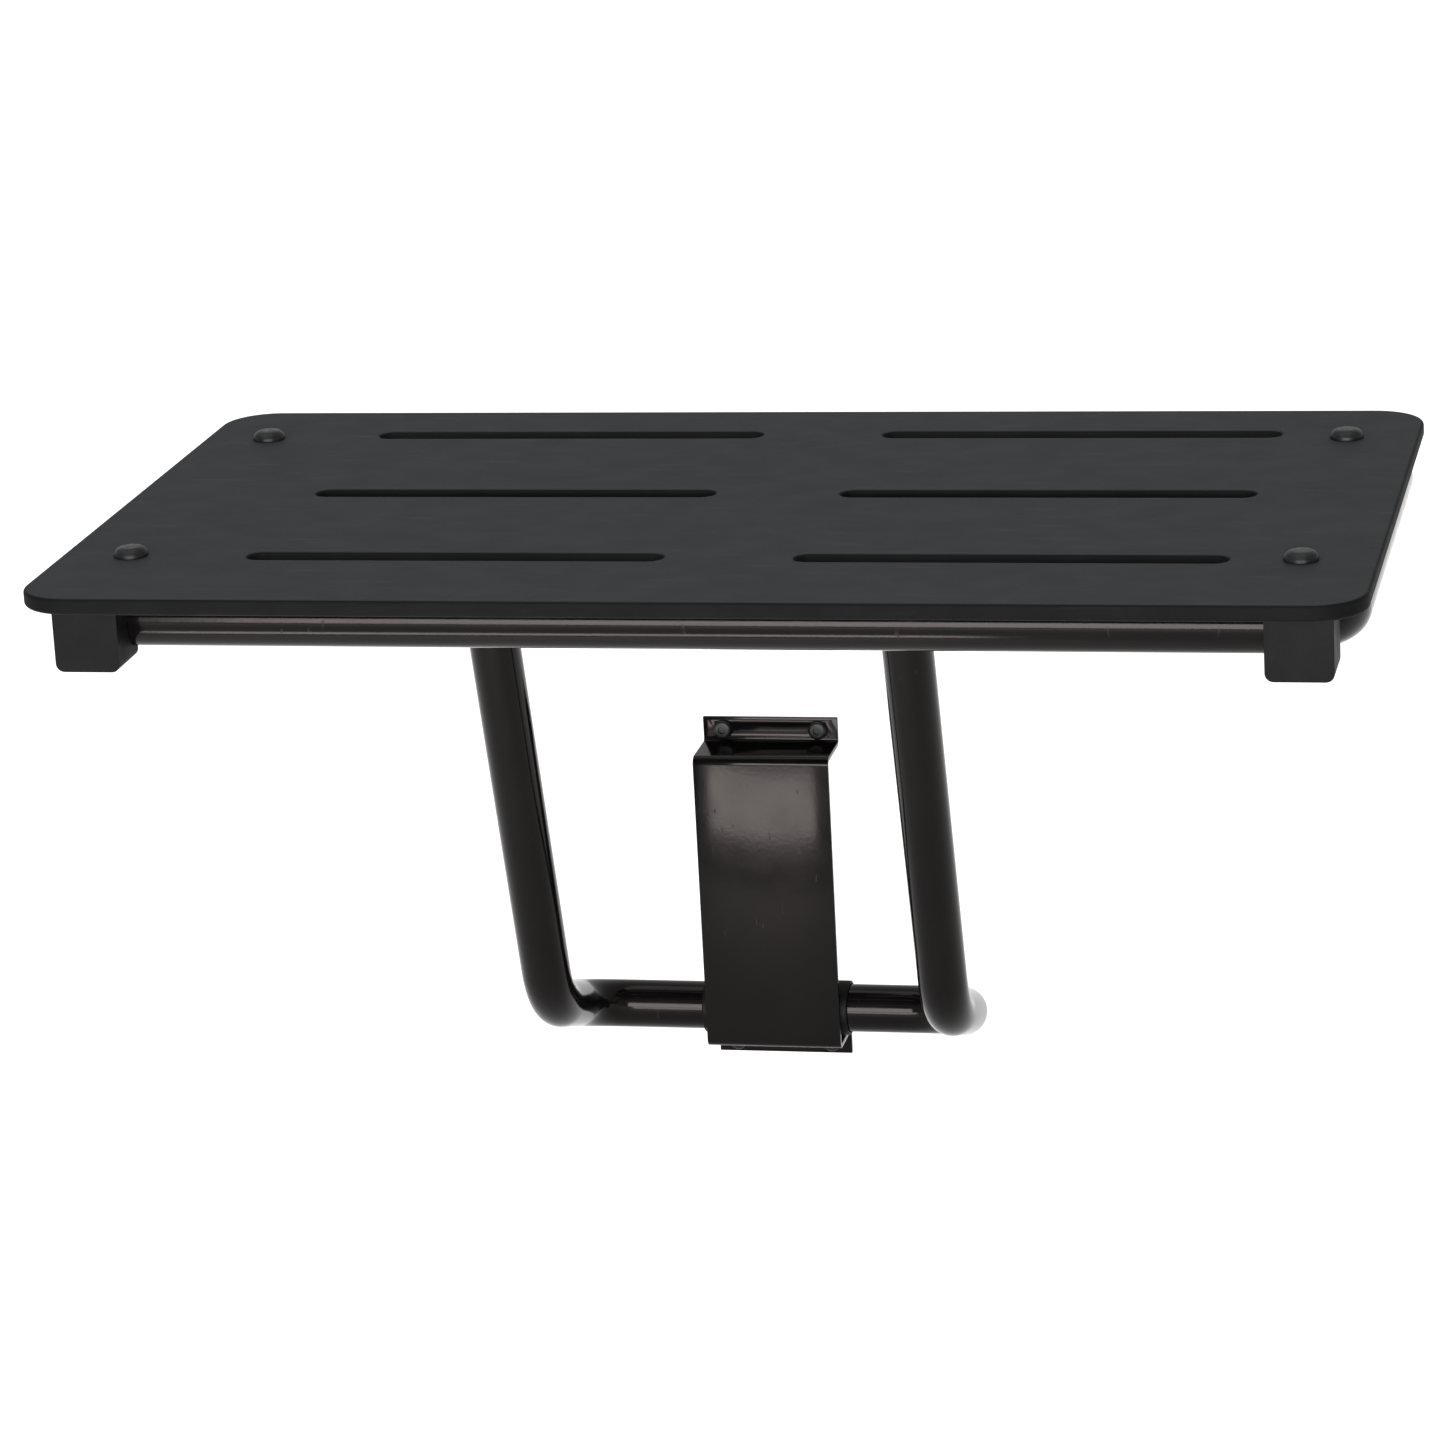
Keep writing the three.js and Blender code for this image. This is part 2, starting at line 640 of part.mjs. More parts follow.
// Hook plate on the cross tube, open towards the wall where the pin rests in it.
function hookLug(from) {
  const mouth = -PIVOT_OUT - 1;
  const shape = new THREE.Shape();
  shape.moveTo(-FRAME_JOINT, FRAME_LEVEL - LUG_BELOW_TUBE);
  shape.lineTo(-FRAME_JOINT, LUG_TOP);
  shape.lineTo(mouth - LUG_LEAD, LUG_TOP);
  shape.lineTo(mouth, PIVOT_LEVEL + LUG_MOUTH);
  shape.lineTo(mouth, PIVOT_LEVEL - LUG_MOUTH);
  shape.lineTo(mouth - LUG_LEAD, PIVOT_LEVEL - LUG_MOUTH);
  shape.closePath();
  const to = from + LUG_THICKNESS;
  const plate = plateAcross(shape, from, to);
  const pinPath = rod("x", PIVOT_R + 2 * FIT, from - 1, to + 1, PIVOT);
  const tubeHole = rod("x", TUBE_R + FIT, from - 1, to + 1, [-FRAME_JOINT, FRAME_LEVEL]);
  return cut(plate, pinPath, tubeHole);
}

add("seat_panel", "phenolic", seatPanel());
for (const corner of corners()) {
  add(`seat_bolt_${corner.name}`, "steel", seatBolt(corner.x, corner.y));
  add(`seat_nut_${corner.name}`, "steel", seatNut(corner.x, corner.y));
  add(`frame_tab_${corner.name}`, "coating", mountingTab(corner));
}
add("frame_front_tube", "coating", tube(frontFramePath(), TUBE_R, TUBE_R - TUBE_WALL));
add("frame_cross_tube", "coating", crossTube());
for (const [hand, side] of SIDES) {
  add(`frame_rear_tube_${hand}`, "coating", rearFrameTube(side));
  add(`frame_plug_${hand}`, "nylon", stubPlug(side));
  add(`bumper_block_${hand}`, "nylon", bumperBlock(side));
  add(`bumper_screw_${hand}`, "steel", blockScrew(side));
  add(`hinge_barrel_${hand}`, "coating", hingeBarrel(side));
  add(`hinge_bush_${hand}_inner`, "nylon", hingeBush(side, -side));
  add(`hinge_bush_${hand}_outer`, "nylon", hingeBush(side, side));
  add(`wall_hinge_${hand}`, "coating", wallHinge(side));
  add(`hinge_pin_${hand}`, "steel", hingePin(side));
  add(`hinge_clip_${hand}`, "steel", pinClip(side));
  hingeScrewSpots(side).forEach(([x, z], i) => {
    add(`hinge_screw_${hand}_${i + 1}`, "steel", wallScrew(x, z, PLATE_THICKNESS));
  });
  const x = MECHANISM_X + side * LEG_HALF;
  add(`leg_eye_${hand}`, "steel", legEye(side));
  add(`leg_pin_${hand}`, "steel", legPin(side));
  add(`hook_lug_${hand}_a`, "coating", hookLug(x - LUG_GAP - LUG_THICKNESS + FIT));
  add(`hook_lug_${hand}_b`, "coating", hookLug(x + LUG_GAP - FIT));
}
add("leg_tube", "coating", legTube());
add("guide_bracket", "coating", guideBracket());
for (const [spot, x, z] of guideScrewSpots()) {
  add(`guide_screw_${spot}`, "steel", wallScrew(x, z, GUIDE_SHEET));
}
add("guide_sleeve", "nylon", guideSleeve());

export default model;
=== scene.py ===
import math

import bpy
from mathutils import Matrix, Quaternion, Vector


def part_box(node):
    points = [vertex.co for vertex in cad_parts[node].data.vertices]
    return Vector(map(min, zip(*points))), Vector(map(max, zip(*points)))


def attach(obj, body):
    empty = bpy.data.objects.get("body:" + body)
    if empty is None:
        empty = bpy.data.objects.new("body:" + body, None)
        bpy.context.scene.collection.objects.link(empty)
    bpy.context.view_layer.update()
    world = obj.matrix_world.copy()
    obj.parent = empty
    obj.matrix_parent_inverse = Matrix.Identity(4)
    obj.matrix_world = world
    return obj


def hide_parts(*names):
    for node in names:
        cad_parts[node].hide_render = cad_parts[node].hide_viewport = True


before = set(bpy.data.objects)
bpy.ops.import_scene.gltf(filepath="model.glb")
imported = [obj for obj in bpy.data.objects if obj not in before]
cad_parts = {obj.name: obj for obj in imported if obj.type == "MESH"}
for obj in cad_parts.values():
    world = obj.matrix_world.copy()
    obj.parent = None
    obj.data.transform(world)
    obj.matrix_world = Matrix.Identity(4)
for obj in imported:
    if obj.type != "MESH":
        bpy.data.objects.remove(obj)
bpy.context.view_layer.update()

MM = 0.001
HANDS = ("left", "right")
ENDS = ("front", "rear")


# ---------------------------------------------------------------- driving sizes

TUBE_WALL = 1.6 * MM
FRAME_BEND = 30 * MM
PIPE_SIDES = 48
BEND_STEPS = 14

BOARD_CORNER = 26 * MM
BOARD_EDGE = 2 * MM
SLOT_WIDTH = 13 * MM
SLOT_SHIFT = 12 * MM
SLOT_INNER = 31 * MM
SLOT_OUTER = 230 * MM
SLOT_MIDDLE = -189 * MM
SLOT_PITCH = 118.5 * MM
BOLT_HOLE = 3.4 * MM
BOLT_SHANK = 3 * MM
BOLT_SEAT = 0.3 * MM

KNEE_BEND = 45 * MM
BAR_BEND = 32 * MM
KNEE_Y = -95 * MM
KNEE_LEVEL = -298 * MM
EYE_LENGTH = 14 * MM

GUIDE_SHEET = 2.5 * MM
FLANGE = 13 * MM
GUIDE_FOLD = 3 * MM
GUIDE_HOLE = 2.8 * MM

SCREW_HEAD = 2.8 * MM
SCREW_CROWN = 1.7 * MM
SCREW_SHANK = 2.5 * MM
RECESS_RADIUS = 2.3 * MM
RECESS_DEPTH = 1.6 * MM

RUNNING_FIT = 0.3 * MM
BUMPER_EDGE = 4 * MM
BUMPER_SINK = 4.5 * MM
SINK_DEPTH = 4 * MM
BUMPER_BORE = 2.3 * MM
BORE_DEPTH = 40 * MM

PAST = 10 * MM    # how far a cutter runs past the face it cuts
TINY = 0.01 * MM  # two places closer than this are the same


# ---------------------------------------------------------------- sizes from the frame

panel_low, panel_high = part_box("seat_panel")
guide_low, guide_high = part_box("guide_bracket")
front_low, front_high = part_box("frame_front_tube")
tube_radius = (front_high.z - front_low.z) / 2
frame_level = (front_high.z + front_low.z) / 2
frame_side = front_high.x - tube_radius
frame_front = front_low.y + tube_radius
frame_joint = front_high.y


def middle_of(node):
    low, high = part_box(node)
    return (low + high) / 2


# ---------------------------------------------------------------- working habits

def pick(piece):
    bpy.ops.object.select_all(action="DESELECT")
    piece.select_set(True)
    bpy.context.view_layer.objects.active = piece


def fresh(name):
    """Names the primitive that was just added."""
    piece = bpy.context.object
    piece.name = name
    piece.data.name = name
    return piece


def settle(piece):
    """Puts the piece's place, turn and size into its mesh."""
    pick(piece)
    bpy.ops.object.transform_apply(location=True, rotation=True, scale=True)


def apply_modifier(piece, kind, **settings):
    pick(piece)
    modifier = piece.modifiers.new(kind.title(), kind)
    for key, value in settings.items():
        setattr(modifier, key, value)
    bpy.ops.object.modifier_apply(modifier=modifier.name)


def break_edges(piece, width, steps, sharper_than=50, **settings):
    apply_modifier(piece, "BEVEL", width=width, segments=steps, limit_method="ANGLE",
                   angle_limit=math.radians(sharper_than), **settings)


def smooth(piece, angle=35):
    pick(piece)
    bpy.ops.object.shade_smooth_by_angle(angle=math.radians(angle))


def flatten_shading(piece):
    """Lets the large faces set the shading, so that flat stays flat beside a broken edge."""
    apply_modifier(piece, "WEIGHTED_NORMAL", weight=100, keep_sharp=True)


def cut_with(piece, cutter):
    apply_modifier(piece, "BOOLEAN", operation="DIFFERENCE", object=cutter, solver="EXACT")
    bpy.data.objects.remove(cutter, do_unlink=True)


def face_outwards(piece):
    pick(piece)
    bpy.ops.object.mode_set(mode="EDIT")
    bpy.ops.mesh.select_mode(type="VERT")
    bpy.ops.mesh.select_all(action="SELECT")
    bpy.ops.mesh.remove_doubles(threshold=1e-6)
    bpy.ops.mesh.normals_make_consistent(inside=False)
    bpy.ops.object.mode_set(mode="OBJECT")


def select_nothing(piece, kind):
    pick(piece)
    bpy.ops.object.mode_set(mode="EDIT")
    bpy.ops.mesh.select_mode(type=kind)
    bpy.ops.mesh.select_all(action="DESELECT")
    bpy.ops.object.mode_set(mode="OBJECT")


def edit_edges(piece, choose):
    """Opens the piece for editing with the edges selected for which choose(start, end) is true."""
    select_nothing(piece, "EDGE")
    points = piece.data.vertices
    for edge in piece.data.edges:
        edge.select = choose(*(points[i].co for i in edge.vertices))
    bpy.ops.object.mode_set(mode="EDIT")


def edit_faces(piece, choose):
    """Opens the piece for editing with the faces selected for which choose(face) is true."""
    select_nothing(piece, "FACE")
    for face in piece.data.polygons:
        face.select = choose(face)
    bpy.ops.object.mode_set(mode="EDIT")


def bevel_edges(piece, choose, width, steps):
    edit_edges(piece, choose)
    bpy.ops.mesh.bevel(offset=width, segments=steps, profile=0.5, affect="EDGES")
    bpy.ops.object.mode_set(mode="OBJECT")


def pull_shank(piece, choose, inset, move):
    """Insets the chosen face and pulls what is left of it out into a shank."""
    edit_faces(piece, choose)
    bpy.ops.mesh.inset(thickness=inset)
    bpy.ops.mesh.extrude_region_move(TRANSFORM_OT_translate={"value": move})
    bpy.ops.object.mode_set(mode="OBJECT")


def is_upright(start, end):
    return abs(start.x - end.x) < TINY and abs(start.y - end.y) < TINY


def copy_of(piece, name):
    """A copy with its own mesh."""
    copy = piece.copy()
    copy.data = piece.data.copy()
    copy.name = name
    copy.data.name = name
    bpy.context.scene.collection.objects.link(copy)
    return copy


def twin(piece, name, offset):
    copy = copy_of(piece, name)
    copy.location = offset
    settle(copy)
    return copy


def finished(piece, body, slot, material, *nodes):
    piece.data.materials.clear()
    piece.data.materials.append(material)
    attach(piece, body)
    if nodes:
        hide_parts(*nodes)


def block(name, low, high):
    low, high = Vector(low), Vector(high)
    bpy.ops.mesh.primitive_cube_add(size=1, location=(low + high) / 2, scale=high - low)
    piece = fresh(name)
    settle(piece)
    return piece


def round_bar(name, radius, start, end, sides=32):
    start, end = Vector(start), Vector(end)
    along = end - start
    turn = along.to_track_quat("Z", "Y").to_euler()
    bpy.ops.mesh.primitive_cylinder_add(
        vertices=sides, radius=radius, depth=along.length, location=(start + end) / 2, rotation=turn)
    piece = fresh(name)
    settle(piece)
    return piece


# ---------------------------------------------------------------- bent tube

def bent_skin(name, corners, bends, radius):
    """A ring drawn along straight runs and spun round each bend."""
    corners = [Vector(corner) for corner in corners]
    runs = [(b - a).normalized() for a, b in zip(corners, corners[1:])]
    first = runs[0].to_track_quat("Z", "Y").to_euler()
    bpy.ops.mesh.primitive_circle_add(
        vertices=PIPE_SIDES, radius=radius, location=corners[0], rotation=first)
    pipe = fresh(name)
    settle(pipe)
    bpy.ops.object.mode_set(mode="EDIT")
    bpy.ops.mesh.select_mode(type="VERT")
    bpy.ops.mesh.select_all(action="SELECT")
    here = corners[0]
    for i, bend in enumerate(bends):
        turn = runs[i].angle(runs[i + 1])
        reach = bend * math.tan(turn / 2)
        begin = corners[i + 1] - runs[i] * reach
        axis = runs[i].cross(runs[i + 1]).normalized()
        centre = begin + axis.cross(runs[i]) * bend
        bpy.ops.mesh.extrude_region_move(TRANSFORM_OT_translate={"value": begin - here})
        bpy.ops.mesh.spin(steps=BEND_STEPS, angle=-turn, center=centre, axis=axis)
        here = corners[i + 1] + runs[i + 1] * reach
    bpy.ops.mesh.extrude_region_move(TRANSFORM_OT_translate={"value": corners[-1] - here})
    bpy.ops.object.mode_set(mode="OBJECT")
    return pipe


def bent_tube(name, corners, bends):
    pipe = bent_skin(name, corners, bends, tube_radius)
    face_outwards(pipe)
    apply_modifier(pipe, "SOLIDIFY", thickness=TUBE_WALL, offset=-1, use_even_offset=True)
    smooth(pipe, 40)
    return pipe


def bent_bar(name, corners, bends, radius):
    bar = bent_skin(name, corners, bends, radius)
    pick(bar)
    bpy.ops.object.mode_set(mode="EDIT")
    bpy.ops.mesh.select_all(action="SELECT")
    bpy.ops.mesh.fill_holes(sides=0)
    bpy.ops.object.mode_set(mode="OBJECT")
    face_outwards(bar)
    return bar


# ---------------------------------------------------------------- materials

MIX_FIRST, MIX_SECOND, MIX_RESULT = 6, 7, 2  # a colour mix's own sockets, which share their names


def linear(code):
    """An sRGB hex colour as linear RGBA."""
    parts = [int(code[i:i + 2], 16) / 255 for i in (0, 2, 4)]
    return [p / 12.92 if p <= 0.04045 else ((p + 0.055) / 1.055) ** 2.4 for p in parts] + [1.0]


def per(feature):
    """The noise scale that gives blotches about feature millimetres across."""
    return 1 / (feature * MM)


def set_inputs(tree, node, inputs):
    """Sets each input to a value, or links it to another node's output."""
    for key, value in inputs.items():
        if isinstance(value, bpy.types.NodeSocket):
            tree.links.new(value, node.inputs[key])
        else:
            node.inputs[key].default_value = value


def add_node(tree, kind, output, inputs, **settings):
    """Adds a node with its settings and links, and gives back the output asked for."""
    made = tree.nodes.new(kind)
    for key, value in settings.items():
        setattr(made, key, value)
    set_inputs(tree, made, inputs)
    return made.outputs[output]


def new_material(name):
    material = bpy.data.materials.new(name)
    material.use_nodes = True
    tree = material.node_tree
    return material, tree, tree.nodes["Principled BSDF"]


def compact_laminate():
    """Compact laminate: resin-soaked paper pressed between matt plates, so its faces are charcoal
    with a fine pressed grain, and its machined edges and slots show the black core."""
    material, tree, surface = new_material("compact_laminate")
    here = add_node(tree, "ShaderNodeTexCoord", "Object", {})
    middle = (panel_low.z + panel_high.z) / 2
    half = (panel_high.z - panel_low.z) / 2
    height = add_node(tree, "ShaderNodeSeparateXYZ", "Z", {"Vector": here})
    offset = add_node(tree, "ShaderNodeMath", 0, {0: height, 1: middle}, operation="SUBTRACT")
    away = add_node(tree, "ShaderNodeMath", 0, {0: offset}, operation="ABSOLUTE")
    face = add_node(tree, "ShaderNodeMapRange", "Result", {
        "Value": away, "From Min": half - 0.5 * MM, "From Max": half - 0.1 * MM})
    cloud = add_node(tree, "ShaderNodeTexNoise", "Fac", {"Vector": here, "Scale": per(70), "Detail": 4})
    blotch = add_node(tree, "ShaderNodeMapRange", "Result", {
        "Value": cloud, "From Min": 0.3, "From Max": 0.7})
    paper = add_node(tree, "ShaderNodeMix", MIX_RESULT, {
        "Factor": blotch, MIX_FIRST: linear("222325"), MIX_SECOND: linear("242527")}, data_type="RGBA")
    # the pressed grain is drawn at 1.6 mm, coarser than the real 0.3 mm, so that it shows
    grain = add_node(tree, "ShaderNodeTexNoise", "Fac", {"Vector": here, "Scale": per(1.6), "Detail": 3})
    speck = add_node(tree, "ShaderNodeMapRange", "Result", {
        "Value": grain, "From Min": 0.35, "From Max": 0.65, "To Max": 0.45})
    paper = add_node(tree, "ShaderNodeMix", MIX_RESULT, {
        "Factor": speck, MIX_FIRST: paper, MIX_SECOND: linear("1f2022")}, data_type="RGBA")
    lengthways = add_node(tree, "ShaderNodeMapping", "Vector", {"Vector": here, "Scale": (0.12, 1, 1)})
    streak = add_node(tree, "ShaderNodeTexNoise", "Fac", {
        "Vector": lengthways, "Scale": per(5), "Detail": 5})
    rub = add_node(tree, "ShaderNodeMapRange", "Result", {
        "Value": streak, "From Min": 0.6, "From Max": 0.74, "To Max": 0.1})
    paper = add_node(tree, "ShaderNodeMix", MIX_RESULT, {
        "Factor": rub, MIX_FIRST: paper, MIX_SECOND: linear("2a2b2e")}, data_type="RGBA")
    colour = add_node(tree, "ShaderNodeMix", MIX_RESULT, {
        "Factor": face, MIX_FIRST: linear("020202"), MIX_SECOND: paper}, data_type="RGBA")
    patch = add_node(tree, "ShaderNodeTexNoise", "Fac", {"Vector": here, "Scale": per(24), "Detail": 5})
    matt = add_node(tree, "ShaderNodeMapRange", "Result", {
        "Value": patch, "From Min": 0.3, "From Max": 0.7, "To Min": 0.68, "To Max": 0.76})
    polished = add_node(tree, "ShaderNodeMath", 0, {0: matt, 1: rub}, operation="SUBTRACT")
    pressed = add_node(tree, "ShaderNodeBump", "Normal", {
        "Height": grain, "Distance": 0.06 * MM, "Strength": 1})
    stacked = add_node(tree, "ShaderNodeMapping", "Vector", {"Vector": here, "Scale": (1, 1, 40)})
    sheets = add_node(tree, "ShaderNodeTexNoise", "Fac", {
        "Vector": stacked, "Scale": per(30), "Detail": 3})
    layered = add_node(tree, "ShaderNodeBump", "Normal", {
        "Height": sheets, "Distance": 0.03 * MM, "Strength": 1, "Normal": pressed})
    set_inputs(tree, surface, {
        "Base Color": colour, "Roughness": polished, "Normal": layered,
        "IOR": 1.5, "Specular IOR Level": 0.08})
    return material


def satin_enamel():
    """Black satin enamel baked on steel tube and sheet: near black, a soft clear highlight,
    with the faint waviness of sprayed paint and a few duller, rubbed patches."""
    material, tree, surface = new_material("satin_enamel")
    here = add_node(tree, "ShaderNodeTexCoord", "Object", {})
    cloud = add_node(tree, "ShaderNodeTexNoise", "Fac", {"Vector": here, "Scale": per(45), "Detail": 5})
    dust = add_node(tree, "ShaderNodeMapRange", "Result", {
        "Value": cloud, "From Min": 0.3, "From Max": 0.7})
    paint = add_node(tree, "ShaderNodeMix", MIX_RESULT, {
        "Factor": dust, MIX_FIRST: linear("030303"), MIX_SECOND: linear("060505")}, data_type="RGBA")
    upright = add_node(tree, "ShaderNodeMapping", "Vector", {"Vector": here, "Scale": (1, 1, 0.25)})
    wear = add_node(tree, "ShaderNodeTexNoise", "Fac", {
        "Vector": upright, "Scale": per(3.5), "Detail": 6})
    scuff = add_node(tree, "ShaderNodeMapRange", "Result", {
        "Value": wear, "From Min": 0.68, "From Max": 0.8, "To Max": 0.35})
    colour = add_node(tree, "ShaderNodeMix", MIX_RESULT, {
        "Factor": scuff, MIX_FIRST: paint, MIX_SECOND: linear("191614")}, data_type="RGBA")
    patch = add_node(tree, "ShaderNodeTexNoise", "Fac", {"Vector": here, "Scale": per(18), "Detail": 4})
    satin = add_node(tree, "ShaderNodeMapRange", "Result", {
        "Value": patch, "From Min": 0.3, "From Max": 0.7, "To Min": 0.1, "To Max": 0.16})
    duller = add_node(tree, "ShaderNodeMath", 0, {0: satin, 1: scuff}, operation="ADD")
    ripple = add_node(tree, "ShaderNodeTexNoise", "Fac", {"Vector": here, "Scale": per(2.2), "Detail": 2})
    peel = add_node(tree, "ShaderNodeBump", "Normal", {
        "Height": ripple, "Distance": 0.015 * MM, "Strength": 1})
    set_inputs(tree, surface, {
        "Base Color": colour, "Roughness": duller, "Normal": peel,
        "IOR": 1.5, "Specular IOR Level": 0.1, "Specular Tint": linear("fff2ee")})
    return material


def moulded_nylon():
    """Black nylon from a spark-eroded mould: deep black with a fine even grain."""
    material, tree, surface = new_material("moulded_nylon")
    here = add_node(tree, "ShaderNodeTexCoord", "Object", {})
    cloud = add_node(tree, "ShaderNodeTexNoise", "Fac", {"Vector": here, "Scale": per(20), "Detail": 4})
    tone = add_node(tree, "ShaderNodeMapRange", "Result", {
        "Value": cloud, "From Min": 0.3, "From Max": 0.7})
    colour = add_node(tree, "ShaderNodeMix", MIX_RESULT, {
        "Factor": tone, MIX_FIRST: linear("020202"), MIX_SECOND: linear("050505")}, data_type="RGBA")
    patch = add_node(tree, "ShaderNodeTexNoise", "Fac", {"Vector": here, "Scale": per(12), "Detail": 4})
    matt = add_node(tree, "ShaderNodeMapRange", "Result", {
        "Value": patch, "From Min": 0.3, "From Max": 0.7, "To Min": 0.48, "To Max": 0.62})
    grain = add_node(tree, "ShaderNodeTexNoise", "Fac", {"Vector": here, "Scale": per(1.1), "Detail": 2})
    sparked = add_node(tree, "ShaderNodeBump", "Normal", {
        "Height": grain, "Distance": 0.05 * MM, "Strength": 1})
    set_inputs(tree, surface, {
        "Base Color": colour, "Roughness": matt, "Normal": sparked,
        "IOR": 1.53, "Specular IOR Level": 0.07})
    return material


def blackened_steel():
    """Blackened steel fixings: dark oxide over turned steel, a little uneven in tone and sheen."""
    material, tree, surface = new_material("blackened_steel")
    here = add_node(tree, "ShaderNodeTexCoord", "Object", {})
    cloud = add_node(tree, "ShaderNodeTexNoise", "Fac", {"Vector": here, "Scale": per(4), "Detail": 5})
    tone = add_node(tree, "ShaderNodeMapRange", "Result", {
        "Value": cloud, "From Min": 0.3, "From Max": 0.7})
    colour = add_node(tree, "ShaderNodeMix", MIX_RESULT, {
        "Factor": tone, MIX_FIRST: linear("060606"), MIX_SECOND: linear("101011")}, data_type="RGBA")
    patch = add_node(tree, "ShaderNodeTexNoise", "Fac", {"Vector": here, "Scale": per(2.5), "Detail": 4})
    sheen = add_node(tree, "ShaderNodeMapRange", "Result", {
        "Value": patch, "From Min": 0.3, "From Max": 0.7, "To Min": 0.3, "To Max": 0.45})
    marks = add_node(tree, "ShaderNodeTexNoise", "Fac", {"Vector": here, "Scale": per(0.9), "Detail": 3})
    turned = add_node(tree, "ShaderNodeBump", "Normal", {
        "Height": marks, "Distance": 0.02 * MM, "Strength": 1})
    set_inputs(tree, surface, {
        "Base Color": colour, "Roughness": sheen, "Normal": turned, "Specular IOR Level": 0.15})
    return material


def pale_floor():
    """Matt painted board: almost white, with faint broad clouds of tone."""
    material, tree, surface = new_material("pale_floor")
    here = add_node(tree, "ShaderNodeTexCoord", "Object", {})
    cloud = add_node(tree, "ShaderNodeTexNoise", "Fac", {"Vector": here, "Scale": per(300), "Detail": 3})
    tone = add_node(tree, "ShaderNodeMapRange", "Result", {
        "Value": cloud, "From Min": 0.3, "From Max": 0.7})
    colour = add_node(tree, "ShaderNodeMix", MIX_RESULT, {
        "Factor": tone, MIX_FIRST: linear("f4f4f4"), MIX_SECOND: linear("f8f8f8")}, data_type="RGBA")
    set_inputs(tree, surface, {"Base Color": colour, "Roughness": 0.9, "Specular IOR Level": 0.1})
    return material


LAMINATE = compact_laminate()
ENAMEL = satin_enamel()
NYLON = moulded_nylon()
FIXING = blackened_steel()


# ---------------------------------------------------------------- seat board

BOLTS = [f"{end}_{hand}" for end in ENDS for hand in HANDS]


def bolt_spot(name):
    middle = middle_of(f"seat_bolt_{name}")
    return Vector((middle.x, middle.y, 0))


def slot_cutter(side, row):
    ends = sorted((side * SLOT_INNER, side * SLOT_OUTER))
    y = SLOT_MIDDLE + row * SLOT_PITCH
    low = (SLOT_SHIFT + ends[0], y - SLOT_WIDTH / 2, panel_low.z - PAST)
    high = (SLOT_SHIFT + ends[1], y + SLOT_WIDTH / 2, panel_high.z + PAST)
    cutter = block("slot_cutter", low, high)
    bevel_edges(cutter, is_upright, SLOT_WIDTH / 2 - TINY, 12)
    return cutter


def seat_board():
    board = block("seat_board", panel_low, panel_high)
    bevel_edges(board, is_upright, BOARD_CORNER, 20)
    for side in (-1, 1):
        for row in (-1, 0, 1):
            cut_with(board, slot_cutter(side, row))
    break_edges(board, BOARD_EDGE, 5, sharper_than=60, use_clamp_overlap=False, loop_slide=False)
    for name in BOLTS:
        spot = bolt_spot(name)
        through = Vector((0, 0, panel_low.z - PAST))
        above = Vector((0, 0, panel_high.z + PAST))
        cut_with(board, round_bar("drill", BOLT_HOLE, spot + through, spot + above))
    apply_modifier(board, "TRIANGULATE", min_vertices=5)
    smooth(board, 32)
    flatten_shading(board)
    finished(board, "seat", "phenolic", LAMINATE, "seat_panel")


# ---------------------------------------------------------------- domed bolts

def domed_bolt():
    """A low dome on a round shank."""
    low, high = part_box("seat_bolt_front_left")
    head = (high.x - low.x) / 2
    top = high.z
    bolt = round_bar("bolt_model", head, (0, 0, BOLT_SEAT), (0, 0, top), 48)
    bevel_edges(bolt, lambda a, b: min(a.z, b.z) > top - TINY, 0.95 * (top - BOLT_SEAT), 8)
    pull_shank(bolt, lambda face: face.normal.z < -0.9, head - BOLT_SHANK, (0, 0, low.z - BOLT_SEAT))
    smooth(bolt, 50)
    return bolt


def seat_bolts():
    model = domed_bolt()
    for name in BOLTS:
        bolt = twin(model, f"domed_bolt_{name}", bolt_spot(name))
        finished(bolt, "seat", "fasteners", FIXING, f"seat_bolt_{name}")
    bpy.data.objects.remove(model, do_unlink=True)


# ---------------------------------------------------------------- tube frame

def front_corners():
    return [(side * frame_side, y, frame_level)
            for side, y in ((-1, frame_joint), (-1, frame_front), (1, frame_front), (1, frame_joint))]


def frame_tubes():
    front = bent_tube("front_tube", front_corners(), [FRAME_BEND, FRAME_BEND])
    finished(front, "seat", "coated_tube", ENAMEL, "frame_front_tube")
    for hand, side in zip(HANDS, (-1, 1)):
        low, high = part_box(f"frame_rear_tube_{hand}")
        stub = high.x if side < 0 else low.x
        rear = bent_tube(f"rear_tube_{hand}", [
            (side * frame_side, low.y, frame_level),
            (side * frame_side, high.y - tube_radius, frame_level),
            (stub, high.y - tube_radius, frame_level),
        ], [FRAME_BEND])
        finished(rear, "seat", "coated_tube", ENAMEL, f"frame_rear_tube_{hand}")


# ---------------------------------------------------------------- folding leg

def leg_tube():
    pivot = middle_of("leg_pin_left")
    left, right = pivot.x, middle_of("leg_pin_right").x
    bar = middle_of("guide_sleeve")
    knee = Vector((left, KNEE_Y, KNEE_LEVEL))
    top = pivot - (pivot - knee).normalized() * EYE_LENGTH
    leg = bent_tube("bent_leg", [
        (left, top.y, top.z),
        knee,
        (left, bar.y, bar.z),
        (right, bar.y, bar.z),
        (right, knee.y, knee.z),
        (right, top.y, top.z),
    ], [KNEE_BEND, BAR_BEND, BAR_BEND, KNEE_BEND])
    finished(leg, "leg", "coated_tube", ENAMEL, "leg_tube")


# ---------------------------------------------------------------- wall guide and wall screws

